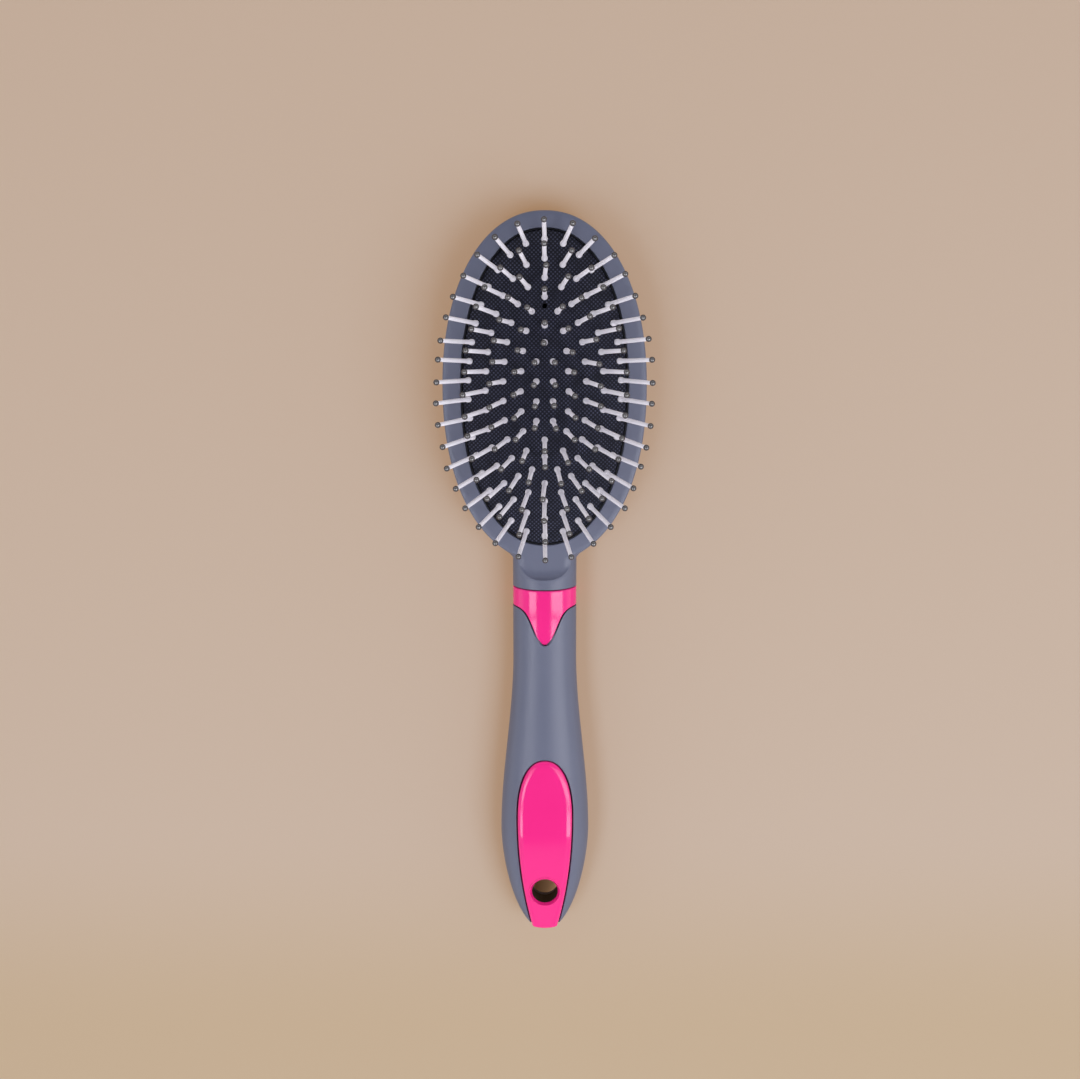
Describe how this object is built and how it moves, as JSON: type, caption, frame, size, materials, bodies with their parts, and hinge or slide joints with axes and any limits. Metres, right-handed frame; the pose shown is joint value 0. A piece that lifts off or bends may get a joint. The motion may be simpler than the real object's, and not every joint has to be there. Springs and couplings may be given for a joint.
{
  "type": "cushion brush",
  "caption": "Oval cushion hairbrush with ball-tipped pins in a soft air cushion, a collared neck and a soft-touch handle with an inlay and a hang hole.",
  "frame": {"origin": "under the middle of the brush, on the plane that its back rests on", "axes": "+Z out of the face that the pins stand on, +Y along the brush from the handle to the head, +X to the right seen from the pins' side"},
  "size_m": [0.0686, 0.239, 0.0401],
  "materials": {
    "soft_grey": "soft-touch matt",
    "black_plastic": "fine matt",
    "pad_rubber": "matt with a fine cross-hatch",
    "pin_nylon": "smooth moulded nylon",
    "pin_tip": "dipped gloss",
    "pink_gloss": "polished"
  },
  "bodies": {
    "brush": {"head_shell": "soft_grey", "pad_frame": "black_plastic", "cushion_pad": "pad_rubber", "neck_collar": "pink_gloss", "grip": "soft_grey", "handle_core": "black_plastic", "handle_inlay": "pink_gloss"},
    "centre_pins": {"centre_pins": "pin_nylon"},
    "pin_row_4": {"pin_row_4": "pin_nylon"},
    "pin_row_3": {"pin_row_3": "pin_nylon"},
    "pin_row_2": {"pin_row_2": "pin_nylon"},
    "pin_row_1": {"pin_row_1": "pin_nylon"}
  },
  "joints": [
    {"name": "cushion_press", "type": "slide", "parent": "brush", "child": "centre_pins", "axis": [0, 0, -1], "range_m": [0, 0.003], "stiffness_N_per_m": 300, "deforming": ["cushion_pad"]},
    {"name": "row_4_press", "type": "slide", "parent": "brush", "child": "pin_row_4", "axis": [0, 0, -1], "range_m": [0, 0.00271], "stiffness_N_per_m": 300},
    {"name": "row_3_press", "type": "slide", "parent": "brush", "child": "pin_row_3", "axis": [0, 0, -1], "range_m": [0, 0.00229], "stiffness_N_per_m": 300},
    {"name": "row_2_press", "type": "slide", "parent": "brush", "child": "pin_row_2", "axis": [0, 0, -1], "range_m": [0, 0.00166], "stiffness_N_per_m": 300},
    {"name": "row_1_press", "type": "slide", "parent": "brush", "child": "pin_row_1", "axis": [0, 0, -1], "range_m": [0, 0.00073], "stiffness_N_per_m": 300}
  ],
  "couplings": [
    {"joint": "row_4_press", "follows": "cushion_press", "ratio": 0.9},
    {"joint": "row_3_press", "follows": "cushion_press", "ratio": 0.76},
    {"joint": "row_2_press", "follows": "cushion_press", "ratio": 0.55},
    {"joint": "row_1_press", "follows": "cushion_press", "ratio": 0.24}
  ]
}
